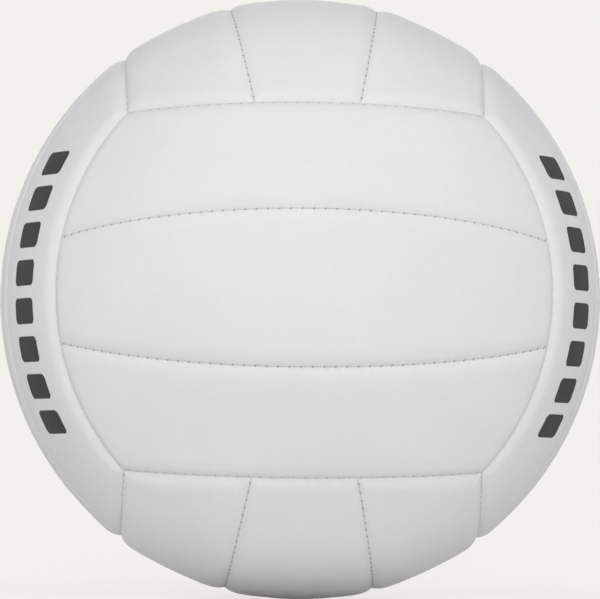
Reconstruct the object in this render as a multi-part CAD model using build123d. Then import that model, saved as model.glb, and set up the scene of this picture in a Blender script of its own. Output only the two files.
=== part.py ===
from build123d import *
import os
from math import asin, atan2, cos, degrees, radians, sin, sqrt

# A sewn volleyball: six faces of three padded strips each, over an air bladder with a needle valve.
# Millimetres and degrees. The origin is the ball's centre, +Z is up, the plain face looks along -Y
# and the valve is at the back, on +Y. The strips run along X on the front and back faces, along Y
# on the top and bottom, and along Z on the left and right.

# Overall size: 660 mm round, over the crests of the panels.
BALL_DIAMETER = 210.0

# Seam lines, as angles seen from the ball's centre.
EDGE_SEAM_MID_DEG = 36.65
STRIP_SEAM_MID_DEG = 14.3
STRIP_SEAM_TILT_DEG = 11.9

# Lay-up of a panel, from outside to inside.
SKIN_THICKNESS = 0.6
FOAM_THICKNESS = 3.2
BACKING_THICKNESS = 0.4
GLUE_FILM = 0.1
SHOULDER_RADIUS = 2.4
SEAM_GAP = 0.1

# Sewing thread, a cord that lies in the valley between the shoulders of two panels.
THREAD_DIAMETER = 0.7
THREAD_CLEARANCE = 0.15
SEAM_END_MARGIN = 2.0

# Bladder, and the reinforcing patch between it and the valve panel.
BLADDER_THICKNESS = 0.6
BLADDER_CLEARANCE = 0.3
PATCH_DIAMETER = 40.0
PATCH_THICKNESS = 0.4

# Valve housing: a flange inside the bladder, a stem, and a tip that shows in the cover.
VALVE_FLANGE_DIAMETER = 34.0
VALVE_FLANGE_THICKNESS = 1.2
VALVE_STEM_DIAMETER = 12.0
VALVE_STEM_LENGTH = 18.0
VALVE_TIP_DIAMETER = 8.4
VALVE_TIP_RECESS = 0.3
VALVE_TIP_ROUNDING = 0.3
VALVE_HOLE_CLEARANCE = 0.2

# Valve core: a plug with a funnel, a needle bore and a slit that closes behind the needle.
CORE_DIAMETER = 5.0
CORE_LENGTH = 15.0
CORE_HEAD_DIAMETER = 6.4
CORE_HEAD_THICKNESS = 1.2
CORE_CLEARANCE = 0.1
NEEDLE_BORE_DIAMETER = 2.1
NEEDLE_BORE_DEPTH = 10.0
FUNNEL_DIAMETER = 3.8
FUNNEL_DEPTH = 0.9
SLIT_WIDTH = 0.2
SLIT_LENGTH = 2.6

# One overrun serves every cut, and every panel is cut from a blank as thick as half the ball.
CUT_OVERRUN = 1.0
BLANK_CORE_SHARE = 0.5

# Radii of the layers, from outside to inside.
CREST_RADIUS = BALL_DIAMETER / 2
SKIN_INNER_RADIUS = CREST_RADIUS - SKIN_THICKNESS
FOAM_OUTER_RADIUS = SKIN_INNER_RADIUS - GLUE_FILM
FOAM_INNER_RADIUS = FOAM_OUTER_RADIUS - FOAM_THICKNESS
BACKING_OUTER_RADIUS = FOAM_INNER_RADIUS - GLUE_FILM
BACKING_INNER_RADIUS = BACKING_OUTER_RADIUS - BACKING_THICKNESS
PATCH_OUTER_RADIUS = BACKING_INNER_RADIUS - GLUE_FILM
PATCH_INNER_RADIUS = PATCH_OUTER_RADIUS - PATCH_THICKNESS
BLADDER_OUTER_RADIUS = PATCH_INNER_RADIUS - BLADDER_CLEARANCE
BLADDER_INNER_RADIUS = BLADDER_OUTER_RADIUS - BLADDER_THICKNESS
FLANGE_OUTER_RADIUS = BLADDER_INNER_RADIUS - GLUE_FILM
FLANGE_INNER_RADIUS = FLANGE_OUTER_RADIUS - VALVE_FLANGE_THICKNESS

# Distances from the middle of a seam, and the radius at which a cord rests between two shoulders.
SKIN_OUTSIDE = SEAM_GAP / 2
SKIN_INSIDE = SKIN_OUTSIDE + SKIN_THICKNESS
THREAD_RADIUS = THREAD_DIAMETER / 2
SHOULDER_MIDDLE = SKIN_OUTSIDE + SHOULDER_RADIUS
CORD_REACH = SHOULDER_RADIUS + THREAD_CLEARANCE + THREAD_RADIUS
VALLEY_RADIUS = sqrt((CREST_RADIUS - SHOULDER_RADIUS) ** 2 - SHOULDER_MIDDLE**2)
CORD_RADIUS = VALLEY_RADIUS + sqrt(CORD_REACH**2 - SHOULDER_MIDDLE**2)

# Directions on the front face, the one that every panel is drawn on.
CENTRE = Vector(0, 0, 0)
STRIP = Vector(1, 0, 0)
OUTWARD = Vector(0, -1, 0)
ACROSS = Vector(0, 0, 1)
CORNER_COSINE = 1 / sqrt(3)


class Seam:
    """A circle on the ball, given by its pole and the angle from the pole out to it.

    The seam's middle lies on the side of the face's outward direction, mid_deg towards across,
    and tilt_deg leans the circle back from that face."""

    def __init__(self, outward, across, mid_deg, tilt_deg):
        tilt = radians(tilt_deg)
        self.pole = across * cos(tilt) - outward * sin(tilt)
        self.forward = outward * cos(tilt) + across * sin(tilt)
        self.along = self.pole.cross(self.forward)
        self.angle = radians(90 - mid_deg + tilt_deg)

    def out(self, turn):
        """The direction away from the pole's axis at an angle round it."""
        return self.forward * cos(turn) + self.along * sin(turn)

    def point(self, turn, radius):
        """A point over the seam at a radius from the ball's centre."""
        return (self.pole * cos(self.angle) + self.out(turn) * sin(self.angle)) * radius

    def turn_of(self, direction):
        """The angle round the pole at which a direction lies."""
        return atan2(direction.dot(self.along), direction.dot(self.forward))

    def cup(self, inset):
        """Everything on the pole's side of the seam's radial wall, moved in from it by inset."""
        apex = inset / sin(self.angle)
        reach = BALL_DIAMETER
        rim = reach * sin(self.angle)
        rim_height = apex + reach * cos(self.angle)
        outline = Polyline((0, apex), (rim, rim_height), (rim, reach), (0, reach), close=True)
        section = Plane(CENTRE, x_dir=-self.forward, z_dir=self.along) * make_face(outline)
        return revolve(section, Axis(CENTRE, self.pole))


def crossing(first, second, near):
    """The direction in which two seams cross, on the side of a given direction."""
    a, b = first.pole, second.pole
    p, q = cos(first.angle), cos(second.angle)
    dot = a.dot(b)
    share = 1 - dot * dot
    flat = a * ((p - q * dot) / share) + b * ((q - p * dot) / share)
    rise = a.cross(b)
    rise = rise * (sqrt(1 - flat.dot(flat)) / rise.length)
    return max(flat + rise, flat - rise, key=lambda way: way.dot(near))


def edge_tilt_deg():
    """The lean that takes an edge seam through the ball's cube corners, where three faces meet."""
    mid = radians(EDGE_SEAM_MID_DEG)
    return degrees(atan2(sin(mid) - CORNER_COSINE, cos(mid) - CORNER_COSINE))


EDGE_TILT_DEG = edge_tilt_deg()
TOP_EDGE = Seam(OUTWARD, ACROSS, EDGE_SEAM_MID_DEG, EDGE_TILT_DEG)
LEFT_END = Seam(-STRIP, OUTWARD, EDGE_SEAM_MID_DEG, EDGE_TILT_DEG)
RIGHT_END = Seam(STRIP, OUTWARD, EDGE_SEAM_MID_DEG, EDGE_TILT_DEG)
UPPER_STRIP = Seam(OUTWARD, ACROSS, STRIP_SEAM_MID_DEG, STRIP_SEAM_TILT_DEG)
LOWER_STRIP = Seam(OUTWARD, -ACROSS, STRIP_SEAM_MID_DEG, STRIP_SEAM_TILT_DEG)

# Each panel keeps the pole's side of some seams and loses it at others.
PANELS = {
    "middle": {"keep": [LEFT_END, RIGHT_END], "lose": [UPPER_STRIP, LOWER_STRIP]},
    "outer": {"keep": [LEFT_END, RIGHT_END, UPPER_STRIP], "lose": [TOP_EDGE]},
}


def block(kind, inner_radius, outer_radius, inset):
    """A panel's slab of the ball between two radii, drawn in from its seams by inset."""
    slab = Sphere(outer_radius) - Sphere(outer_radius * BLANK_CORE_SHARE)
    for seam in PANELS[kind]["keep"]:
        slab &= seam.cup(inset)
    for seam in PANELS[kind]["lose"]:
        slab -= seam.cup(-inset)
    return slab - Sphere(inner_radius)


def rounded_block(kind, inner_radius, outer_radius, inset, rounding):
    """A panel's slab with its outer edges rolled over towards the seams."""
    slab = block(kind, inner_radius, outer_radius, inset)
    crown = max(slab.faces(), key=lambda face: face.center().length)
    return fillet(crown.edges(), rounding)


def make_cover(kind):
    """The outer skin: a shallow tray whose rim is turned in along every seam."""
    outside = rounded_block(kind, BACKING_INNER_RADIUS, CREST_RADIUS, SKIN_OUTSIDE, SHOULDER_RADIUS)
    pocket_floor = BACKING_INNER_RADIUS - CUT_OVERRUN
    pocket_rounding = SHOULDER_RADIUS - SKIN_THICKNESS
    return outside - rounded_block(kind, pocket_floor, SKIN_INNER_RADIUS, SKIN_INSIDE, pocket_rounding)


def make_foam(kind):
    """The foam pad that fills the tray and gives the panel its rolled edges."""
    rounding = SHOULDER_RADIUS - SKIN_THICKNESS - GLUE_FILM
    return rounded_block(kind, FOAM_INNER_RADIUS, FOAM_OUTER_RADIUS, SKIN_INSIDE + GLUE_FILM, rounding)


def make_backing(kind):
    """The woven backing glued under the foam."""
    return block(kind, BACKING_INNER_RADIUS, BACKING_OUTER_RADIUS, SKIN_INSIDE + GLUE_FILM)


def make_cord(seam, half_turn):
    """One run of stitching, a cord along the seam that stops short of the seams at its ends."""
    reach = half_turn - SEAM_END_MARGIN / (CORD_RADIUS * sin(seam.angle))
    section = Plane(
        seam.point(-reach, CORD_RADIUS),
        x_dir=-seam.point(-reach, CORD_RADIUS),
        z_dir=seam.pole.cross(seam.out(-reach)),
    )
    return revolve(section * Circle(THREAD_RADIUS), Axis(CENTRE, seam.pole), degrees(2 * reach))


def make_strip_cord():
    """The cord between two strips of a face, which ends at the faces beside it."""
    end = crossing(UPPER_STRIP, RIGHT_END, OUTWARD + STRIP)
    return make_cord(UPPER_STRIP, abs(UPPER_STRIP.turn_of(end)))


def make_edge_cord():
    """The cord between two faces, from one cube corner to the next."""
    return make_cord(TOP_EDGE, asin(CORNER_COSINE / sin(TOP_EDGE.angle)))


# The six faces. Each plane carries the front face's drawing to its place on the ball,
# and the two names say which outer strip lies on the +across and the -across side.
FACES = {
    "front": (Plane(CENTRE, x_dir=(1, 0, 0), z_dir=(0, 0, 1)), "upper", "lower"),
    "back": (Plane(CENTRE, x_dir=(-1, 0, 0), z_dir=(0, 0, 1)), "upper", "lower"),
    "top": (Plane(CENTRE, x_dir=(0, 1, 0), z_dir=(-1, 0, 0)), "left", "right"),
    "bottom": (Plane(CENTRE, x_dir=(0, 1, 0), z_dir=(1, 0, 0)), "right", "left"),
    "left": (Plane(CENTRE, x_dir=(0, 0, 1), z_dir=(0, 1, 0)), "rear", "front"),
    "right": (Plane(CENTRE, x_dir=(0, 0, 1), z_dir=(0, -1, 0)), "front", "rear"),
}
VALVE_FACE = "back"
HALF_TURN = Rot(0, 180, 0)


def layer_pieces(layer, make):
    """The eighteen pieces of one layer, three to a face, by node name."""
    middle, outer = make("middle"), make("outer")
    pieces = {}
    for face, (plane, plus, minus) in FACES.items():
        pieces[f"{face}_middle_{layer}"] = plane.location * middle
        pieces[f"{face}_{plus}_{layer}"] = plane.location * outer
        pieces[f"{face}_{minus}_{layer}"] = plane.location * (HALF_TURN * outer)
    return pieces


def cord_group(cord):
    """The same cord on both sides of every face, as separate solids in one node."""
    copies = []
    for plane, _, _ in FACES.values():
        copies += [plane.location * cord, plane.location * (HALF_TURN * cord)]
    return Compound(children=copies)


# The valve is drawn standing on +Z, with heights measured from the ball's centre, and turned to +Y.
VALVE_PLACE = Rot(-90, 0, 0)
VALVE_STEM_RADIUS = VALVE_STEM_DIAMETER / 2
VALVE_HOLE_RADIUS = VALVE_STEM_RADIUS + VALVE_HOLE_CLEARANCE
VALVE_EYE_RADIUS = VALVE_TIP_DIAMETER / 2 + VALVE_HOLE_CLEARANCE
VALVE_TIP_HEIGHT = CREST_RADIUS - VALVE_TIP_RECESS
VALVE_SHOULDER_HEIGHT = sqrt(SKIN_INNER_RADIUS**2 - VALVE_STEM_RADIUS**2) - GLUE_FILM
VALVE_FOOT_HEIGHT = VALVE_SHOULDER_HEIGHT - VALVE_STEM_LENGTH
CORE_FOOT_HEIGHT = VALVE_TIP_HEIGHT - CORE_LENGTH
NEEDLE_FOOT_HEIGHT = VALVE_TIP_HEIGHT - NEEDLE_BORE_DEPTH


def post(diameter, low, high):
    """A round post about the valve's axis, between two heights."""
    standing = (Align.CENTER, Align.CENTER, Align.MIN)
    return Pos(0, 0, low) * Cylinder(diameter / 2, high - low, align=standing)


def cap_layer(outer_radius, inner_radius, diameter):
    """A round patch of a spherical layer about the valve's axis."""
    return (Sphere(outer_radius) - Sphere(inner_radius)) & post(diameter, 0, BALL_DIAMETER)


def valve_passage(radius):
    """What is cut away for the valve, from the ball's middle out."""
    return VALVE_PLACE * post(2 * radius, 0, BALL_DIAMETER)


def make_valve_housing():
    """The moulded rubber housing, bonded inside the bladder, with a stepped seat for the core."""
    tip = post(VALVE_TIP_DIAMETER, VALVE_SHOULDER_HEIGHT, VALVE_TIP_HEIGHT)
    tip = fillet(tip.edges().group_by(Axis.Z)[-1], VALVE_TIP_ROUNDING)
    body = post(VALVE_STEM_DIAMETER, VALVE_FOOT_HEIGHT, VALVE_SHOULDER_HEIGHT) + tip
    body += cap_layer(FLANGE_OUTER_RADIUS, FLANGE_INNER_RADIUS, VALVE_FLANGE_DIAMETER)
    seat_floor = VALVE_TIP_HEIGHT - CORE_HEAD_THICKNESS - CORE_CLEARANCE
    body -= post(CORE_DIAMETER + 2 * CORE_CLEARANCE, VALVE_FOOT_HEIGHT - CUT_OVERRUN, VALVE_TIP_HEIGHT)
    body -= post(CORE_HEAD_DIAMETER + 2 * CORE_CLEARANCE, seat_floor, VALVE_TIP_HEIGHT + CUT_OVERRUN)
    return VALVE_PLACE * body


def make_valve_core():
    """The plug that seals the valve: a head, a shank, a funnelled needle bore and a closing slit."""
    head_floor = VALVE_TIP_HEIGHT - CORE_HEAD_THICKNESS
    core = post(CORE_DIAMETER, CORE_FOOT_HEIGHT, head_floor)
    core += post(CORE_HEAD_DIAMETER, head_floor, VALVE_TIP_HEIGHT)
    core -= post(NEEDLE_BORE_DIAMETER, NEEDLE_FOOT_HEIGHT, VALVE_TIP_HEIGHT)
    funnel = Cone(
        NEEDLE_BORE_DIAMETER / 2,
        FUNNEL_DIAMETER / 2,
        FUNNEL_DEPTH,
        align=(Align.CENTER, Align.CENTER, Align.MAX),
    )
    core -= Pos(0, 0, VALVE_TIP_HEIGHT) * funnel
    slit_depth = NEEDLE_FOOT_HEIGHT - CORE_FOOT_HEIGHT + CUT_OVERRUN
    slit = Box(SLIT_LENGTH, SLIT_WIDTH, slit_depth, align=(Align.CENTER, Align.CENTER, Align.MAX))
    core -= Pos(0, 0, NEEDLE_FOOT_HEIGHT) * slit
    return VALVE_PLACE * core


def make_valve_patch():
    """The reinforcing ring glued behind the valve panel."""
    return VALVE_PLACE * cap_layer(PATCH_OUTER_RADIUS, PATCH_INNER_RADIUS, PATCH_DIAMETER)


def make_bladder():
    """The air bladder, a hollow sphere with one hole for the valve's stem."""
    return Sphere(BLADDER_OUTER_RADIUS) - Sphere(BLADDER_INNER_RADIUS)


def build():
    """Every piece of the ball by node name."""
    pieces = layer_pieces("cover", make_cover)
    pieces |= layer_pieces("foam", make_foam)
    pieces |= layer_pieces("backing", make_backing)
    pieces["strip_seam_threads"] = cord_group(make_strip_cord())
    pieces["edge_seam_threads"] = cord_group(make_edge_cord())
    pieces["bladder"] = make_bladder()
    pieces["valve_patch"] = make_valve_patch()
    for node in (f"{VALVE_FACE}_middle_foam", f"{VALVE_FACE}_middle_backing", "bladder", "valve_patch"):
        pieces[node] -= valve_passage(VALVE_HOLE_RADIUS)
    pieces[f"{VALVE_FACE}_middle_cover"] -= valve_passage(VALVE_EYE_RADIUS)
    pieces["valve_housing"] = make_valve_housing()
    pieces["valve_core"] = make_valve_core()
    return pieces


os.makedirs("parts", exist_ok=True)
for node, piece in build().items():
    export_step(piece, f"parts/{node}.step")
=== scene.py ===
from math import acos, asin, atan2, ceil, cos, pi, radians, sin, sqrt

import bmesh
import bpy
from mathutils import Matrix, Vector


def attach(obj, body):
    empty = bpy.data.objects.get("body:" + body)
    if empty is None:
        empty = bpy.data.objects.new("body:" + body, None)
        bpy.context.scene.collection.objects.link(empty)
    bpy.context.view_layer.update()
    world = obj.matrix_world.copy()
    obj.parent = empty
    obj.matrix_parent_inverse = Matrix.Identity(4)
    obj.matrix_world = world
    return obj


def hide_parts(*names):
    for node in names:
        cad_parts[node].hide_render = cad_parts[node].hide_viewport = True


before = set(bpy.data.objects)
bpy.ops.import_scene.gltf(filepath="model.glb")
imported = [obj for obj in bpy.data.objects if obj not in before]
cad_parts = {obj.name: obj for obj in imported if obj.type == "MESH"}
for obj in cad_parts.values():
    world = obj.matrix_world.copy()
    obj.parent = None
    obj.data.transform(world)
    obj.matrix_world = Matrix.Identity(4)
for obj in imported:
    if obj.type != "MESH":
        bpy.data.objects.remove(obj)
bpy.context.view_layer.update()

# A sewn white volleyball. All lengths are in metres and the ball's centre is the origin.
MM = 0.001

# The ball and its seam lines, as the solids have them. The corners of the faces are those of a cube,
# and the cosine is that of the angle between such a corner and the middle of a face.
BALL_RADIUS = 105 * MM
EDGE_SEAM_MID = radians(36.65)
STRIP_SEAM_MID = radians(14.3)
STRIP_SEAM_TILT = radians(11.9)
CORNER_COSINE = 1 / sqrt(3)

# How a padded panel rolls down into its seams. Where two seams meet, their falls add up by a norm.
SHOULDER_WIDTH = 5.4 * MM
EDGE_SEAM_DEPTH = 1.65 * MM
STRIP_SEAM_DEPTH = 1.15 * MM
SHOULDER_POWER = 2.3
CORNER_NORM = 4.0
SEAM_HALF_GAP = 0.03 * MM
CROWN_FLATTENING = 0.3 * MM
CROWN_REACH = 16 * MM
PUCKER_DEPTH = 0.36 * MM
PUCKER_REACH = 1.9 * MM
PUCKER_SHARPNESS = 2.0
SKIN_THICKNESS = 0.3 * MM

# The turned-in rim below a panel's border: its depth, and the shares of it at which its rows lie.
RIM_DEPTH = 2.6 * MM
RIM_SHARES = (0.25, 1.0)

# Sewing thread. The stitches of a strip seam are longer and stand higher than those of an edge seam.
STITCH_PITCH = 3.8 * MM
SEAM_END_MARGIN = 2.4 * MM
THREAD_RADIUS = 0.2 * MM
THREAD_SIDES = 6
THREAD_SINK = 0.2 * MM
STRIP_STITCH_HALF_LENGTH = 0.72 * MM
STRIP_STITCH_RISE = 0.42 * MM
EDGE_STITCH_HALF_LENGTH = 0.5 * MM
EDGE_STITCH_RISE = 0.3 * MM
STITCH_SLANT = 0.75
STITCH_SPANS = 5

# Valve eye in the back middle panel: its edge rolls in over a short reach.
EYE_RADIUS = 4.4 * MM
EYE_ROLL = 0.35 * MM
EYE_REACH = 1.8 * MM
EYE_SIDES = 64
EYE_CUTTER_LENGTH = 8 * RIM_DEPTH

# Printed bars on the two strips beside the front face.
BAR_COUNT = 8
BAR_PITCH = 13 * MM
BAR_HALF_LENGTH = 4.4 * MM
BAR_HALF_HEIGHT = 7.5 * MM
BAR_ROUNDING = 2 * MM
BAR_EDGE = 0.12 * MM

# Grid of a panel's mesh: fine rows near a seam, then even rows.
EDGE_ROWS = [row * MM for row in (0, 0.1, 0.28, 0.55, 0.9, 1.35, 1.9, 2.6, 3.5, 4.6)]
ROW_STEP = 0.95 * MM

# Directions on the front face, the one that every panel is drawn on.
STRIP = Vector((1, 0, 0))
OUTWARD = Vector((0, -1, 0))
ACROSS = Vector((0, 0, 1))


class Seam:
    """A circle on the ball, given by its pole and the angle from the pole out to it."""

    def __init__(self, outward, across, mid, tilt):
        self.pole = across * cos(tilt) - outward * sin(tilt)
        self.forward = outward * cos(tilt) + across * sin(tilt)
        self.along = self.pole.cross(self.forward)
        self.angle = pi / 2 - mid + tilt

    def spot(self, turn):
        """The direction of a place on the seam, given by its turn from the seam's middle."""
        out = self.forward * cos(turn) + self.along * sin(turn)
        return self.pole * cos(self.angle) + out * sin(self.angle)

    def turn_of(self, way):
        """The turn from the seam's middle at which a direction lies."""
        return atan2(way.dot(self.along), way.dot(self.forward))

    def length(self, turn):
        """How long a turn is along the seam."""
        return BALL_RADIUS * sin(self.angle) * turn

    def gap(self, way):
        """How far a direction lies inside the seam, on the pole's side, along the ball."""
        return BALL_RADIUS * (self.angle - acos(max(-1, min(1, way.dot(self.pole)))))


def crossing(pole_a, angle_a, pole_b, angle_b, near):
    """The direction in which two circles on the ball cross, on the side of a given direction."""
    p, q, dot = cos(angle_a), cos(angle_b), pole_a.dot(pole_b)
    share = 1 - dot * dot
    flat = pole_a * ((p - q * dot) / share) + pole_b * ((q - p * dot) / share)
    rise = pole_a.cross(pole_b)
    rise *= sqrt(1 - flat.length_squared) / rise.length
    return max(flat + rise, flat - rise, key=lambda way: way.dot(near))


EDGE_TILT = atan2(sin(EDGE_SEAM_MID) - CORNER_COSINE, cos(EDGE_SEAM_MID) - CORNER_COSINE)
TOP_EDGE = Seam(OUTWARD, ACROSS, EDGE_SEAM_MID, EDGE_TILT)
LEFT_END = Seam(-STRIP, OUTWARD, EDGE_SEAM_MID, EDGE_TILT)
RIGHT_END = Seam(STRIP, OUTWARD, EDGE_SEAM_MID, EDGE_TILT)
UPPER_STRIP = Seam(OUTWARD, ACROSS, STRIP_SEAM_MID, STRIP_SEAM_TILT)
LOWER_STRIP = Seam(OUTWARD, -ACROSS, STRIP_SEAM_MID, STRIP_SEAM_TILT)


def half_turn_of(row, inset=0.0):
    """The turn from a row's middle to the end seam, or to a small angle short of it."""
    end = crossing(row.pole, row.angle, RIGHT_END.pole, RIGHT_END.angle - inset, OUTWARD + STRIP)
    return abs(row.turn_of(end))


class Stitching:
    """Even stitches along one kind of seam, clear of both its ends, and how deep that seam lies."""

    def __init__(self, seam, half_turn, depth, stitch_half_length, stitch_rise):
        self.seam = seam
        self.depth = depth
        self.stitch_half_length = stitch_half_length
        self.stitch_rise = stitch_rise
        self.half_length = seam.length(half_turn) - SEAM_END_MARGIN
        self.count = round(2 * self.half_length / STITCH_PITCH)
        self.pitch = 2 * self.half_length / self.count

    def phase(self, run):
        """Stitches counted from the first one: a whole number lies on a stitch."""
        return (run + self.half_length) / self.pitch


STRIP_STITCHING = Stitching(
    UPPER_STRIP,
    half_turn_of(UPPER_STRIP),
    STRIP_SEAM_DEPTH,
    STRIP_STITCH_HALF_LENGTH,
    STRIP_STITCH_RISE,
)
EDGE_STITCHING = Stitching(
    TOP_EDGE,
    asin(CORNER_COSINE / sin(TOP_EDGE.angle)),
    EDGE_SEAM_DEPTH,
    EDGE_STITCH_HALF_LENGTH,
    EDGE_STITCH_RISE,
)

# The rows of a panel sweep from its lower seam to its upper one, given by their middle and tilt.
# Each panel also lists its seams, on which side of each it lies, and how that seam is sewn.
PANEL_ROWS = {
    "middle": ((-STRIP_SEAM_MID, -STRIP_SEAM_TILT), (STRIP_SEAM_MID, STRIP_SEAM_TILT)),
    "outer": ((STRIP_SEAM_MID, STRIP_SEAM_TILT), (EDGE_SEAM_MID, EDGE_TILT)),
}
PANEL_ENDS = {
    "left": (LEFT_END, 1, EDGE_STITCHING),
    "right": (RIGHT_END, 1, EDGE_STITCHING),
}
PANEL_SEAMS = {
    "middle": {
        "low": (LOWER_STRIP, -1, STRIP_STITCHING),
        "high": (UPPER_STRIP, -1, STRIP_STITCHING),
        **PANEL_ENDS,
    },
    "outer": {
        "low": (UPPER_STRIP, 1, STRIP_STITCHING),
        "high": (TOP_EDGE, -1, EDGE_STITCHING),
        **PANEL_ENDS,
    },
}
SIDES = ("low", "high", "left", "right")


def turned(x_axis, z_axis):
    """The turn that carries the front face's drawing to another face."""
    x, z = Vector(x_axis), Vector(z_axis)
    return Matrix((x, z.cross(x), z)).transposed()


# Each face's turn, and the names of its strips on the +across and the -across side.
FACES = {
    "front": (turned((1, 0, 0), (0, 0, 1)), "upper", "lower"),
    "back": (turned((-1, 0, 0), (0, 0, 1)), "upper", "lower"),
    "top": (turned((0, 1, 0), (-1, 0, 0)), "left", "right"),
    "bottom": (turned((0, 1, 0), (1, 0, 0)), "right", "left"),
    "left": (turned((0, 0, 1), (0, 1, 0)), "rear", "front"),
    "right": (turned((0, 0, 1), (0, -1, 0)), "front", "rear"),
}

# The turn about a face's middle that swaps its two outer strips.
HALF_TURN = Matrix.Rotation(pi, 3, "Y")


def plug(tree, value, socket):
    """Links another node's output to an input, or sets the input to a plain value."""
    if isinstance(value, bpy.types.NodeSocket):
        tree.links.new(value, socket)
    else:
        socket.default_value = value


class Nodes:
    """Adds nodes to a tree: inputs by place or by name, each a value or another node's output."""

    def __init__(self, tree):
        self.tree = tree

    def __call__(self, kind, *places, out=None, named=None, **settings):
        node = self.tree.nodes.new(kind)
        for key, value in settings.items():
            setattr(node, key, value)
        inputs = [socket for socket in node.inputs if socket.enabled]
        for socket, value in zip(inputs, places):
            plug(self.tree, value, socket)
        for label, value in (named or {}).items():
            plug(self.tree, value, node.inputs[label])
        if out:
            return node.outputs[out]
        return next(socket for socket in node.outputs if socket.enabled)

    def math(self, operation, *places, clamp=False):
        return self("ShaderNodeMath", *places, operation=operation, use_clamp=clamp)

    def vector(self, operation, *places):
        return self("ShaderNodeVectorMath", *places, operation=operation)

    def scaled(self, vector, factor):
        return self("ShaderNodeVectorMath", named={"Vector": vector, "Scale": factor}, operation="SCALE")

    def mixed(self, share, first, second):
        """A colour between two others."""
        return self("ShaderNodeMix", share, first, second, data_type="RGBA")

    def ramp(self, value, low, high, to_low=0.0, to_high=1.0, rise="LINEAR"):
        """An even rise from one value to another."""
        return self("ShaderNodeMapRange", value, low, high, to_low, to_high, interpolation_type=rise)

    def steps(self, value, low, high, to_low=0.0, to_high=1.0):
        """A smooth rise from one value to another."""
        return self.ramp(value, low, high, to_low, to_high, rise="SMOOTHSTEP")

    def noise(self, place, density, detail, roughness=0.5, out=None):
        named = {"Vector": place, "Scale": density, "Detail": detail, "Roughness": roughness}
        return self("ShaderNodeTexNoise", named=named, out=out)


def new_shape_tree(name, inputs):
    """An empty Geometry Nodes tree with named inputs, its node adder and the group's input sockets."""
    tree = bpy.data.node_groups.new(name, "GeometryNodeTree")
    tree.interface.new_socket("Geometry", in_out="OUTPUT", socket_type="NodeSocketGeometry")
    tree.interface.new_socket("Geometry", in_out="INPUT", socket_type="NodeSocketGeometry")
    for label, kind in inputs.items():
        tree.interface.new_socket(label, in_out="INPUT", socket_type="NodeSocket" + kind)
    return tree, Nodes(tree), tree.nodes.new("NodeGroupInput").outputs


def finish_tree(tree, node, geometry, material):
    """Ends a tree with plain, smooth geometry that carries its material."""
    smooth = node("GeometryNodeSetShadeSmooth", geometry)
    real = node("GeometryNodeRealizeInstances", smooth)
    shown = node("GeometryNodeSetMaterial", real, named={"Material": material})
    tree.links.new(shown, tree.nodes.new("NodeGroupOutput").inputs[0])


def shaped(name, mesh, tree, values, extra=()):
    """A plain mesh object: the base mesh run through a tree, and through other modifiers after it."""
    base = bpy.data.objects.new(name + ".base", mesh)
    bpy.context.scene.collection.objects.link(base)
    modifier = base.modifiers.new("shape", "NODES")
    modifier.node_group = tree
    for item in tree.interface.items_tree:
        if item.in_out == "INPUT" and item.name in values:
            modifier[item.identifier] = values[item.name]
    for kind, settings in extra:
        more = base.modifiers.new(kind.lower(), kind)
        for key, value in settings.items():
            setattr(more, key, value)
    bpy.context.view_layer.update()
    plain = bpy.data.meshes.new_from_object(base.evaluated_get(bpy.context.evaluated_depsgraph_get()))
    bpy.data.objects.remove(base)
    piece = bpy.data.objects.new(name, plain)
    plain.name = name
    bpy.context.scene.collection.objects.link(piece)
    return piece


def panel_tree():
    """Shape of a padded panel: how far each point of the bare patch drops towards its seams."""
    labels = (
        "Ball Radius", "Shoulder Width", "Shoulder Power", "Crown Flattening", "Crown Reach",
        "Pucker Depth", "Pucker Reach", "Eye Radius", "Eye Reach", "Eye Roll",
        *(side.title() + " Depth" for side in SIDES),
    )
    inputs = {label: "Float" for label in labels} | {"Material": "Material"}
    tree, node, given = new_shape_tree("padded panel", inputs)

    def stored(name):
        return node("GeometryNodeInputNamedAttribute", name, data_type="FLOAT")

    falls, pucker, nearest = 0.0, 0.0, None
    for side in SIDES:
        gap = stored("gap_" + side)
        lean = node.math("DIVIDE", gap, given["Shoulder Width"])
        lean = node.math("SUBTRACT", 1.0, lean, clamp=True)
        fall = node.math("POWER", lean, given["Shoulder Power"])
        fall = node.math("MULTIPLY", fall, given[side.title() + " Depth"])
        falls = node.math("ADD", falls, node.math("POWER", fall, CORNER_NORM))
        near = node.steps(gap, 0.0, given["Pucker Reach"], 1.0, 0.0)
        wave = node.math("COSINE", node.math("MULTIPLY", stored("phase_" + side), 2 * pi))
        wave = node.math("POWER", node.math("MULTIPLY_ADD", wave, 0.5, 0.5), PUCKER_SHARPNESS)
        pucker = node.math("ADD", pucker, node.math("MULTIPLY", near, wave))
        nearest = gap if nearest is None else node.math("MINIMUM", nearest, gap)

    crown = node.steps(nearest, given["Shoulder Width"], given["Crown Reach"])
    beyond_eye = node.math("SUBTRACT", stored("eye"), given["Eye Radius"])
    roll = node.math("SUBTRACT", 1.0, node.math("DIVIDE", beyond_eye, given["Eye Reach"]), clamp=True)
    roll = node.math("MULTIPLY", roll, roll)

    drop = node.math("POWER", falls, 1 / CORNER_NORM)
    for share, size in ((pucker, "Pucker Depth"), (crown, "Crown Flattening"), (roll, "Eye Roll")):
        drop = node.math("ADD", drop, node.math("MULTIPLY", share, given[size]))
    drop = node.math("ADD", drop, stored("rim"))
    radius = node.math("SUBTRACT", given["Ball Radius"], drop)
    way = node.vector("NORMALIZE", node("GeometryNodeInputPosition"))
    place = node.scaled(way, radius)
    moved = node("GeometryNodeSetPosition", given["Geometry"], named={"Position": place})
    finish_tree(tree, node, moved, given["Material"])
    return tree


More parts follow.
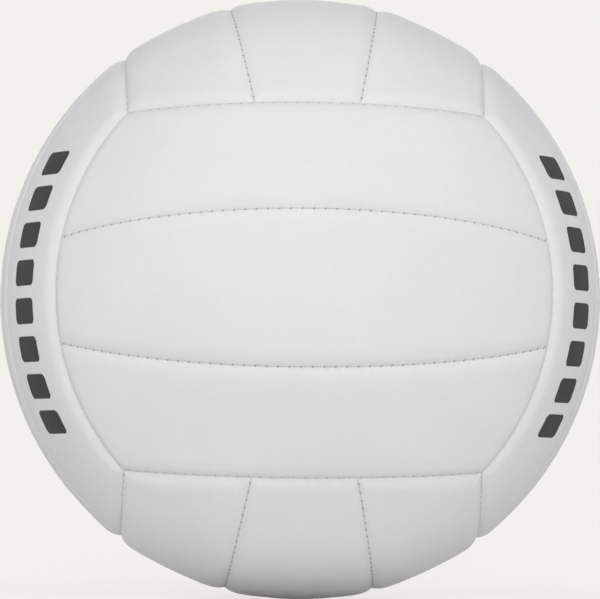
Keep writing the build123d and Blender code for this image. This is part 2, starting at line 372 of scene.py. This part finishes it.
def stitch_tree():
    """Thread along a seam: a run sunk between the panels, and a slanted stitch over it at every hole."""
    labels = ("Thread Radius", "Stitch Half Length", "Stitch Slant", "Stitch Rise")
    inputs = {label: "Float" for label in labels} | {"Stitches": "Int", "Material": "Material"}
    tree, node, given = new_shape_tree("seam stitching", inputs)
    line = node("GeometryNodeMeshToCurve", given["Geometry"])
    thread = {"Radius": given["Thread Radius"]}
    ring = node("GeometryNodeCurvePrimitiveCircle", THREAD_SIDES, named=thread, mode="RADIUS")
    run = node("GeometryNodeCurveToMesh", line, ring, named={"Fill Caps": True})
    holes = node("GeometryNodeResampleCurve", line, named={"Count": given["Stitches"]}, mode="COUNT")

    lean = node.math("MULTIPLY", given["Stitch Half Length"], given["Stitch Slant"])
    end = node("ShaderNodeCombineXYZ", lean, given["Stitch Half Length"], 0.0)
    start = node.scaled(end, -1.0)
    top = node("ShaderNodeCombineXYZ", 0.0, 0.0, node.math("MULTIPLY", given["Stitch Rise"], 2.0))
    arch = node("GeometryNodeCurveQuadraticBezier", STITCH_SPANS, start, top, end)
    stitch = node("GeometryNodeCurveToMesh", arch, ring, named={"Fill Caps": True})

    outward = {"Vector": node("GeometryNodeInputPosition")}
    upright = node("FunctionNodeAlignRotationToVector", named=outward, axis="Z")
    onward = {"Rotation": upright, "Vector": node("GeometryNodeInputTangent")}
    turn = node("FunctionNodeAlignRotationToVector", named=onward, axis="X", pivot_axis="Z")
    sewn = node("GeometryNodeInstanceOnPoints", holes, named={"Instance": stitch, "Rotation": turn})
    both = node("GeometryNodeJoinGeometry")
    for part in (sewn, run):
        tree.links.new(part, both.node.inputs[0])
    finish_tree(tree, node, both, given["Material"])
    return tree


def stations(length):
    """Places along a length, close together near both ends."""
    first, last = EDGE_ROWS[-1], length - EDGE_ROWS[-1]
    count = ceil((last - first) / ROW_STEP)
    middle = [first + (last - first) * i / count for i in range(1, count)]
    return EDGE_ROWS + middle + [length - row for row in reversed(EDGE_ROWS)]


def between(low, high, share):
    return low + (high - low) * share


def grid_faces(rows, columns):
    """The faces of a grid of points that are numbered row by row."""
    starts = [i * columns + j for i in range(rows - 1) for j in range(columns - 1)]
    return [(k, k + 1, k + columns + 1, k + columns) for k in starts]


def grid_border(rows, columns):
    """The numbers of a grid's outer points, once round."""
    last_row = (rows - 1) * columns
    return (
        list(range(columns))
        + [i * columns + columns - 1 for i in range(1, rows)]
        + [last_row + j for j in range(columns - 2, -1, -1)]
        + [i * columns for i in range(rows - 2, 0, -1)]
    )


def panel_patch(kind, turn, eye):
    """A panel's bare patch of the ball, with what its shape and its print need stored on its points."""
    (low_mid, low_tilt), (high_mid, high_tilt) = PANEL_ROWS[kind]
    inset = SEAM_HALF_GAP / BALL_RADIUS
    low_mid, high_mid = low_mid + inset, high_mid - inset
    height = BALL_RADIUS * (high_mid - low_mid)
    length = 2 * BALL_RADIUS * (pi / 2 - EDGE_SEAM_MID)
    rows = [place / height for place in stations(height)]
    columns = [2 * place / length - 1 for place in stations(length)]

    ways, along, across = [], [], []
    for v in rows:
        row = Seam(OUTWARD, ACROSS, between(low_mid, high_mid, v), between(low_tilt, high_tilt, v))
        reach = half_turn_of(row, inset)
        ways += [row.spot(u * reach) for u in columns]
        along += [row.length(u * reach) for u in columns]
        across += [height * (v - 0.5)] * len(columns)
    rim = [0.0] * len(ways)

    faces = grid_faces(len(rows), len(columns))
    border = grid_border(len(rows), len(columns))
    above = border
    for share in RIM_SHARES:
        below = range(len(ways), len(ways) + len(border))
        for values in (ways, along, across):
            values += [values[k] for k in border]
        rim += [share * RIM_DEPTH] * len(border)
        for k in range(len(border)):
            after = (k + 1) % len(border)
            faces.append((above[after], above[k], below[k], below[after]))
        above = below

    facts = {"along": along, "across": across, "rim": rim}
    for side, (seam, sign, stitching) in PANEL_SEAMS[kind].items():
        facts["gap_" + side] = [max(0.0, sign * seam.gap(way)) for way in ways]
        facts["phase_" + side] = [stitching.phase(seam.length(seam.turn_of(way))) for way in ways]
    facts["eye"] = [BALL_RADIUS * (Vector((way.x, way.z)).length if eye else 1) for way in ways]
    mesh = bpy.data.meshes.new(kind + ".patch")
    mesh.from_pydata([turn @ (way * BALL_RADIUS) for way in ways], [], faces)
    for name, values in facts.items():
        mesh.attributes.new(name, "FLOAT", "POINT").data.foreach_set("value", values)
    return mesh


def seam_track(stitching, turn):
    """The line of one seam's stitches, at the bottom of the groove between two panels."""
    radius = BALL_RADIUS - stitching.depth - PUCKER_DEPTH - THREAD_SINK
    spans = 2 * stitching.count
    reach = stitching.half_length / stitching.seam.length(1)
    turns = [reach * (2 * i / spans - 1) for i in range(spans + 1)]
    return [turn @ (stitching.seam.spot(place) * radius) for place in turns]


def seam_mesh(stitching):
    """The lines of every seam of one kind, on both sides of all six faces."""
    points, edges = [], []
    for turn, _, _ in FACES.values():
        for side in (Matrix.Identity(3), HALF_TURN):
            first = len(points)
            points += seam_track(stitching, turn @ side)
            edges += [(k, k + 1) for k in range(first, len(points) - 1)]
    mesh = bpy.data.meshes.new("seam.line")
    mesh.from_pydata(points, edges, [])
    return mesh


# Colours of the finishes.
COVER_WHITE = (0.785, 0.788, 0.796, 1)
# Painted shade: the grey that the cover turns towards in the grooves of its seams.
SEAM_PAINTED_SHADE = (0.52, 0.515, 0.50, 1)
BAR_INK = (0.055, 0.055, 0.057, 1)
# Partly painted shade: a grey thread, darkened so that each stitch carries the shade of its hole.
THREAD_GREY_AND_HOLE_SHADE = (0.42, 0.42, 0.42)
BLADDER_BLACK = (0.03, 0.03, 0.032, 1)
HOUSING_GREY = (0.50, 0.50, 0.49, 1)
CORE_BLACK = (0.04, 0.04, 0.04, 1)
FOAM_CREAM = (0.72, 0.69, 0.58, 1)
# Painted shade for the pits between the foam's cells.
FOAM_PIT_PAINTED_SHADE = (0.40, 0.37, 0.28, 1)
BACKING_CREAM = (0.66, 0.65, 0.60, 1)
PATCH_BUFF = (0.50, 0.49, 0.45, 1)
WEAVE_SHADE = (0.35, 0.34, 0.31, 1)

# Pebbled grain: how coarse and how far its wobble is against a pebble, how far its cells run into each
# other, and from where to where, in a cell, the pit between two pebbles deepens.
WOBBLE_DENSITY_SHARE = 0.6
WOBBLE_SHARE = 0.7
PEBBLE_BLEND = 0.6
PIT_START, PIT_END = 0.35, 0.75

# Mottle: how its slow and its fine noise are mixed, and from where to where the mix darkens a colour
# and changes the sheen.
SLOW_SHARE, FINE_SHARE = 0.65, 0.35
FINE_DENSITY = 22.0
SHADE_START, SHADE_END = 0.35, 0.65
SHEEN_START, SHEEN_END = 0.3, 0.7

# Painted shade in the seams of the cover, the twist of the thread, how far a bloom changes the roughness
# of rubber, how strongly the painted shade in the foam's pits and the weave darken, and the depth of each
# finish's relief.
SEAM_SHADE_REACH = 0.42 * MM
SEAM_SHADE_SHARE = 0.38
TWIST_DENSITY = 900.0
TWIST_DISTORTION = 1.5
TWIST_DARKEST = 0.75
BLOOM = 0.08
FOAM_PIT_SHADE_SHARE = 0.4
WEAVE_SHADE_SHARE = 0.3
FINE_RELIEF = 0.03 * MM
WEAVE_RELIEF = 0.1 * MM
FOAM_RELIEF = 0.15 * MM


def new_group(name, inputs, outputs):
    """An empty shader node group with named sockets."""
    tree = bpy.data.node_groups.new(name, "ShaderNodeTree")
    for label, kind in inputs.items():
        tree.interface.new_socket(label, in_out="INPUT", socket_type="NodeSocket" + kind)
    for label, kind in outputs.items():
        tree.interface.new_socket(label, in_out="OUTPUT", socket_type="NodeSocket" + kind)
    given = tree.nodes.new("NodeGroupInput").outputs
    return tree, Nodes(tree), given, tree.nodes.new("NodeGroupOutput").inputs


def grain_group():
    """Fine pebbled grain: a height and a mask of the pits between the pebbles."""
    outputs = {"Height": "Float", "Pits": "Float"}
    tree, node, given, out = new_group("pebble grain", {"Pebble Size": "Float"}, outputs)
    place = node("ShaderNodeTexCoord", out="Object")
    density = node.math("DIVIDE", 1.0, given["Pebble Size"])
    wobble_density = node.math("MULTIPLY", density, WOBBLE_DENSITY_SHARE)
    wobble = node.noise(place, wobble_density, detail=1.0, out="Color")
    shift = node.scaled(wobble, node.math("MULTIPLY", given["Pebble Size"], WOBBLE_SHARE))
    cells = node(
        "ShaderNodeTexVoronoi",
        named={"Vector": node.vector("ADD", place, shift), "Scale": density, "Smoothness": PEBBLE_BLEND},
        feature="SMOOTH_F1",
        out="Distance",
    )
    pits = node.steps(cells, PIT_START, PIT_END)
    tree.links.new(node.math("SUBTRACT", 1.0, pits), out["Height"])
    tree.links.new(pits, out["Pits"])
    return tree


def mottle_group():
    """Slow, faint variation of a colour over the surface, with a little fine dust."""
    inputs = {"Colour": "Color", "Amount": "Float", "Patch Size": "Float"}
    outputs = {"Colour": "Color", "Patches": "Float"}
    tree, node, given, out = new_group("soft mottle", inputs, outputs)
    place = node("ShaderNodeTexCoord", out="Object")
    density = node.math("DIVIDE", 1.0, given["Patch Size"])
    slow = node.noise(place, density, detail=3.0, roughness=0.55)
    fine = node.noise(place, node.math("MULTIPLY", density, FINE_DENSITY), detail=2.0)
    patches = node.math("MULTIPLY_ADD", fine, FINE_SHARE, node.math("MULTIPLY", slow, SLOW_SHARE))
    shade = node.math("MULTIPLY", node.ramp(patches, SHADE_START, SHADE_END), given["Amount"])
    colour = node.scaled(given["Colour"], node.math("SUBTRACT", 1.0, shade))
    tree.links.new(colour, out["Colour"])
    tree.links.new(patches, out["Patches"])
    return tree


GRAIN = grain_group()
MOTTLE = mottle_group()


class Finish:
    """A material with one Principled BSDF, and a node adder for what feeds it."""

    def __init__(self, name, **sockets):
        self.material = bpy.data.materials.new(name)
        self.material.use_nodes = True
        tree = self.material.node_tree
        self.node = Nodes(tree)
        self.shader = next(n for n in tree.nodes if n.type == "BSDF_PRINCIPLED")
        for label, value in sockets.items():
            self.feed(label.replace("_", " "), value)

    def feed(self, label, value):
        plug(self.material.node_tree, value, self.shader.inputs[label])

    def group(self, tree, **values):
        """Places a shader group with its own values, and gives its outputs."""
        named = {label.replace("_", " "): value for label, value in values.items()}
        return self.node("ShaderNodeGroup", node_tree=tree, named=named).node.outputs

    def sheen(self, patches, smoothest, roughest):
        """A roughness that follows the mottle."""
        self.feed("Roughness", self.node.ramp(patches, SHEEN_START, SHEEN_END, smoothest, roughest))

    def bump(self, height, depth, strength=1.0):
        named = {"Height": height, "Distance": depth, "Strength": strength}
        self.feed("Normal", self.node("ShaderNodeBump", named=named))


def attribute(node, name):
    """A value that is stored on the points of a mesh."""
    return node("ShaderNodeAttribute", attribute_name=name, out="Fac")


def printed_bars(node):
    """Mask of a row of plain rounded bars along the middle of a strip."""
    along, across = attribute(node, "along"), attribute(node, "across")
    cell = node.math("FRACT", node.math("DIVIDE", along, BAR_PITCH))
    x = node.math("ABSOLUTE", node.math("MULTIPLY", node.math("SUBTRACT", cell, 0.5), BAR_PITCH))
    x = node.math("SUBTRACT", x, BAR_HALF_LENGTH - BAR_ROUNDING)
    y = node.math("SUBTRACT", node.math("ABSOLUTE", across), BAR_HALF_HEIGHT - BAR_ROUNDING)
    corner = node("ShaderNodeCombineXYZ", node.math("MAXIMUM", x, 0.0), node.math("MAXIMUM", y, 0.0), 0.0)
    outside = node.vector("LENGTH", corner)
    inside = node.math("MINIMUM", node.math("MAXIMUM", x, y), 0.0)
    edge = node.math("SUBTRACT", node.math("ADD", outside, inside), BAR_ROUNDING)
    bar = node.steps(edge, -BAR_EDGE, BAR_EDGE, 1.0, 0.0)
    in_row = node.math("LESS_THAN", node.math("ABSOLUTE", along), BAR_COUNT * BAR_PITCH / 2)
    return node.math("MULTIPLY", bar, in_row)


def soft_touch_cover(name, marks=False):
    """Matte white synthetic leather with a fine grain, with painted shade in the seams."""
    finish = Finish(name, Specular_IOR_Level=0.12)
    node = finish.node
    mottle = finish.group(MOTTLE, Colour=COVER_WHITE, Amount=0.035, Patch_Size=38 * MM)
    grain = finish.group(GRAIN, Pebble_Size=0.55 * MM)
    nearest = attribute(node, "gap_low")
    for side in SIDES[1:]:
        nearest = node.math("MINIMUM", nearest, attribute(node, "gap_" + side))
    # Painted shade: the cover's colour darkens towards the seam grey within a short reach of every seam.
    seam_shade = node.steps(nearest, 0.0, SEAM_SHADE_REACH, SEAM_SHADE_SHARE, 0.0)
    colour = node.mixed(seam_shade, mottle["Colour"], SEAM_PAINTED_SHADE)
    if marks:
        colour = node.mixed(printed_bars(node), colour, BAR_INK)
    finish.feed("Base Color", colour)
    finish.sheen(mottle["Patches"], smoothest=0.58, roughest=0.7)
    finish.bump(grain["Height"], FINE_RELIEF, strength=0.35)
    return finish.material


def thread_finish():
    """Grey sewing thread with a fine twist, darkened with painted shade so that each stitch shows the dark
    tick of its hole.
    """
    finish = Finish("waxed grey thread", Roughness=0.55)
    node = finish.node
    place = node("ShaderNodeTexCoord", out="Object")
    named = {"Vector": place, "Scale": TWIST_DENSITY, "Distortion": TWIST_DISTORTION}
    twist = node("ShaderNodeTexWave", named=named, out="Fac")
    finish.feed("Base Color", node.scaled(THREAD_GREY_AND_HOLE_SHADE, node.ramp(twist, 0.0, 1.0, TWIST_DARKEST, 1.0)))
    finish.bump(twist, FINE_RELIEF)
    return finish.material


def rubber_finish(name, colour, roughness, pebble):
    """Moulded rubber with a bloom and a fine mould texture."""
    finish = Finish(name, Specular_IOR_Level=0.4)
    mottle = finish.group(MOTTLE, Colour=colour, Amount=0.25, Patch_Size=9 * MM)
    grain = finish.group(GRAIN, Pebble_Size=pebble)
    finish.feed("Base Color", mottle["Colour"])
    finish.sheen(mottle["Patches"], roughness - BLOOM, roughness + BLOOM)
    finish.bump(grain["Height"], FINE_RELIEF, strength=0.5)
    return finish.material


def foam_finish():
    """Closed-cell foam: pale, with small open cells whose pits are darkened with painted shade."""
    finish = Finish("pale foam", Roughness=0.85)
    node = finish.node
    mottle = finish.group(MOTTLE, Colour=FOAM_CREAM, Amount=0.12, Patch_Size=12 * MM)
    grain = finish.group(GRAIN, Pebble_Size=0.9 * MM)
    # Painted shade: the pits between the cells are mixed towards a darker colour.
    pits = node.math("MULTIPLY", grain["Pits"], FOAM_PIT_SHADE_SHARE)
    finish.feed("Base Color", node.mixed(pits, mottle["Colour"], FOAM_PIT_PAINTED_SHADE))
    finish.bump(grain["Height"], FOAM_RELIEF)
    return finish.material


def cloth_finish(name, colour, thread):
    """Woven cloth: threads that rise and sink in turn along each axis."""
    finish = Finish(name, Roughness=0.9)
    node = finish.node
    mottle = finish.group(MOTTLE, Colour=colour, Amount=0.1, Patch_Size=15 * MM)
    place = node("ShaderNodeTexCoord", out="Object")
    split = node("ShaderNodeSeparateXYZ", node.scaled(place, pi / thread)).node.outputs
    waves = [node.math("SINE", axis) for axis in split]
    weave = node.math("MULTIPLY", node.math("MULTIPLY", waves[0], waves[1]), waves[2])
    height = node.math("MULTIPLY_ADD", weave, 0.5, 0.5)
    shade = node.math("MULTIPLY", height, WEAVE_SHADE_SHARE)
    finish.feed("Base Color", node.mixed(shade, mottle["Colour"], WEAVE_SHADE))
    finish.bump(height, WEAVE_RELIEF)
    return finish.material


COVER = soft_touch_cover("soft-touch white cover")
MARKED_COVER = soft_touch_cover("soft-touch white cover with marks", marks=True)
THREAD = thread_finish()
BLADDER_RUBBER = rubber_finish("black bladder rubber", BLADDER_BLACK, roughness=0.45, pebble=0.8 * MM)
HOUSING_RUBBER = rubber_finish("grey valve rubber", HOUSING_GREY, roughness=0.6, pebble=0.4 * MM)
CORE_RUBBER = rubber_finish("black valve rubber", CORE_BLACK, roughness=0.55, pebble=0.35 * MM)
FOAM = foam_finish()
BACKING = cloth_finish("woven backing", BACKING_CREAM, thread=0.55 * MM)
PATCH = cloth_finish("coated patch", PATCH_BUFF, thread=0.9 * MM)


def dress(node_name, material):
    """Gives a CAD solid its finish."""
    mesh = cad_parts[node_name].data
    mesh.materials.clear()
    mesh.materials.append(material)


# The covers.
PANEL_SHAPE = panel_tree()
PANEL_VALUES = {
    "Ball Radius": BALL_RADIUS,
    "Shoulder Width": SHOULDER_WIDTH,
    "Shoulder Power": SHOULDER_POWER,
    "Crown Flattening": CROWN_FLATTENING,
    "Crown Reach": CROWN_REACH,
    "Pucker Depth": PUCKER_DEPTH,
    "Pucker Reach": PUCKER_REACH,
    "Eye Radius": EYE_RADIUS,
    "Eye Reach": EYE_REACH,
    "Eye Roll": EYE_ROLL,
}
MARKED = ("left_front", "right_front")
VALVE_PANEL = "back_middle"


def make_eye_cutter():
    """A round bar along the valve's axis."""
    bar = bmesh.new()
    bmesh.ops.create_cone(
        bar,
        cap_ends=True,
        segments=EYE_SIDES,
        radius1=EYE_RADIUS,
        radius2=EYE_RADIUS,
        depth=EYE_CUTTER_LENGTH,
        matrix=Matrix.Translation((0, BALL_RADIUS, 0)) @ Matrix.Rotation(pi / 2, 4, "X"),
    )
    mesh = bpy.data.meshes.new("eye.cutter")
    bar.to_mesh(mesh)
    bar.free()
    return bpy.data.objects.new("eye.cutter", mesh)


EYE_CUTTER = make_eye_cutter()
EYE_CUT = ("BOOLEAN", {"object": EYE_CUTTER, "operation": "DIFFERENCE", "solver": "EXACT"})
SKIN = ("SOLIDIFY", {"thickness": SKIN_THICKNESS, "offset": -1.0, "use_even_offset": True})


def make_panel(name, kind, turn):
    """One padded cover on its foam and backing. The valve's panel has an eye cut in it."""
    material = MARKED_COVER if name in MARKED else COVER
    eye = name == VALVE_PANEL
    extra = [SKIN, EYE_CUT] if eye else [SKIN]
    depths = {side.title() + " Depth": sewn.depth for side, (_, _, sewn) in PANEL_SEAMS[kind].items()}
    values = PANEL_VALUES | depths | {"Material": material}
    panel = shaped(name + "_panel", panel_patch(kind, turn, eye), PANEL_SHAPE, values, extra)
    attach(panel, "ball")
    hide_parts(name + "_cover")
    dress(name + "_foam", FOAM)
    dress(name + "_backing", BACKING)


for face, (turn, plus, minus) in FACES.items():
    make_panel(face + "_middle", "middle", turn)
    make_panel(f"{face}_{plus}", "outer", turn)
    make_panel(f"{face}_{minus}", "outer", turn @ HALF_TURN)
bpy.data.objects.remove(EYE_CUTTER)

# The thread.
STITCH_SHAPE = stitch_tree()
for seam_kind, stitching in (("strip_seam", STRIP_STITCHING), ("edge_seam", EDGE_STITCHING)):
    values = {
        "Thread Radius": THREAD_RADIUS,
        "Stitch Half Length": stitching.stitch_half_length,
        "Stitch Slant": STITCH_SLANT,
        "Stitch Rise": stitching.stitch_rise,
        "Stitches": stitching.count + 1,
        "Material": THREAD,
    }
    sewing = shaped(seam_kind + "_stitching", seam_mesh(stitching), STITCH_SHAPE, values)
    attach(sewing, "ball")
    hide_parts(seam_kind + "_threads")

# The air system keeps its solids.
dress("bladder", BLADDER_RUBBER)
dress("valve_housing", HOUSING_RUBBER)
dress("valve_core", CORE_RUBBER)
dress("valve_patch", PATCH)

# Camera: level with the ball's lower half, a little to the left of its front face. Blender takes the
# lens and the sensor in millimetres.
CAMERA_DISTANCE = 1.26
CAMERA_AZIMUTH = radians(-1.4)
CAMERA_ELEVATION = radians(-2.2)
CAMERA_ROLL = radians(0.45)
CAMERA_LENS = 215.6
CAMERA_SENSOR = 36.0
camera = bpy.data.objects.new("camera", bpy.data.cameras.new("camera"))
camera.data.sensor_width = CAMERA_SENSOR
camera.data.lens = CAMERA_LENS
camera.location = CAMERA_DISTANCE * Vector(
    (
        sin(CAMERA_AZIMUTH) * cos(CAMERA_ELEVATION),
        -cos(CAMERA_AZIMUTH) * cos(CAMERA_ELEVATION),
        sin(CAMERA_ELEVATION),
    )
)
look = (-camera.location).to_track_quat("-Z", "Y").to_matrix()
camera.rotation_euler = (look @ Matrix.Rotation(CAMERA_ROLL, 3, "Z")).to_euler()
bpy.context.scene.collection.objects.link(camera)
bpy.context.scene.camera = camera

# Paper floor and backdrop: the colour that is seen, how much of it the floor glows with, and what the
# floor adds to that where light falls on it. The last colour is the one that lights the ball from below.
PAPER = (0.896, 0.879, 0.847, 1)
PAPER_GLOW = 0.8
PAPER_SHADE = (0.26, 0.255, 0.246, 1)
PAPER_BOUNCE = (0.9, 0.89, 0.87, 1)
FLOOR_HALF_SPAN = 6.0
FLOOR_CORNERS = ((-1, -1), (1, -1), (1, 1), (-1, 1))

# Soft boxes far off in the sky: where each one's middle lies, the cosines of the angles from there at
# which its light ends and at which it is full, and its brightness.
SKY_BOXES = {
    "front": ((0.0, -1.0, 0.12), 0.88, 0.98, 4.5),
    "left": ((-0.82, -0.22, 0.53), 0.85, 0.98, 1.65),
    "right": ((0.82, -0.22, 0.53), 0.85, 0.98, 1.65),
    "overhead": ((0.0, -0.6, 1.0), 0.8, 0.97, 1.05),
    "back": ((0.0, 1.0, 0.06), 0.93, 0.99, 9.0),
}
SKY_REST = 0.05
SKY_WHITE = (1.0, 1.0, 1.0, 1)


def seen_or_lit(node, lit, seen):
    """Shows one shader to the camera and to reflections, and another to the light."""
    path = node("ShaderNodeLightPath").node.outputs
    direct = node.math("ADD", path["Is Camera Ray"], path["Is Glossy Ray"])
    direct = node.math("ADD", direct, path["Is Transmission Ray"], clamp=True)
    return node("ShaderNodeMixShader", direct, lit, seen)


def paper_floor():
    """Pale paper that keeps the ball's shadow. It can be seen through from below."""
    material = bpy.data.materials.new("paper floor")
    material.use_nodes = True
    tree = material.node_tree
    tree.nodes.clear()
    node = Nodes(tree)
    glow = node("ShaderNodeEmission", PAPER, PAPER_GLOW)
    seen = node("ShaderNodeAddShader", glow, node("ShaderNodeBsdfDiffuse", PAPER_SHADE))
    above = seen_or_lit(node, node("ShaderNodeBsdfDiffuse", PAPER_BOUNCE), seen)
    below = node("ShaderNodeBsdfTransparent")
    sheet = node("ShaderNodeMixShader", node("ShaderNodeNewGeometry", out="Backfacing"), above, below)
    tree.links.new(sheet, tree.nodes.new("ShaderNodeOutputMaterial").inputs["Surface"])
    return material


floor_mesh = bpy.data.meshes.new("floor")
floor_points = [(x * FLOOR_HALF_SPAN, y * FLOOR_HALF_SPAN, -BALL_RADIUS) for x, y in FLOOR_CORNERS]
floor_mesh.from_pydata(floor_points, [], [(0, 1, 2, 3)])
floor_mesh.materials.append(paper_floor())
floor = bpy.data.objects.new("floor", floor_mesh)
bpy.context.scene.collection.objects.link(floor)

world = bpy.data.worlds.new("studio")
world.use_nodes = True
world.node_tree.nodes.clear()
sky = Nodes(world.node_tree)
toward = sky("ShaderNodeTexCoord", out="Generated")
light = SKY_REST
for middle, edge, full, brightness in SKY_BOXES.values():
    nearness = sky.vector("DOT_PRODUCT", toward, Vector(middle).normalized())
    light = sky.math("ADD", light, sky.steps(nearness, edge, full, 0.0, brightness))
studio = seen_or_lit(
    sky,
    lit=sky("ShaderNodeBackground", SKY_WHITE, light),
    seen=sky("ShaderNodeBackground", PAPER, 1.0),
)
world_out = world.node_tree.nodes.new("ShaderNodeOutputWorld")
world.node_tree.links.new(studio, world_out.inputs["Surface"])
bpy.context.scene.world = world

bpy.context.scene.view_settings.view_transform = "Standard"
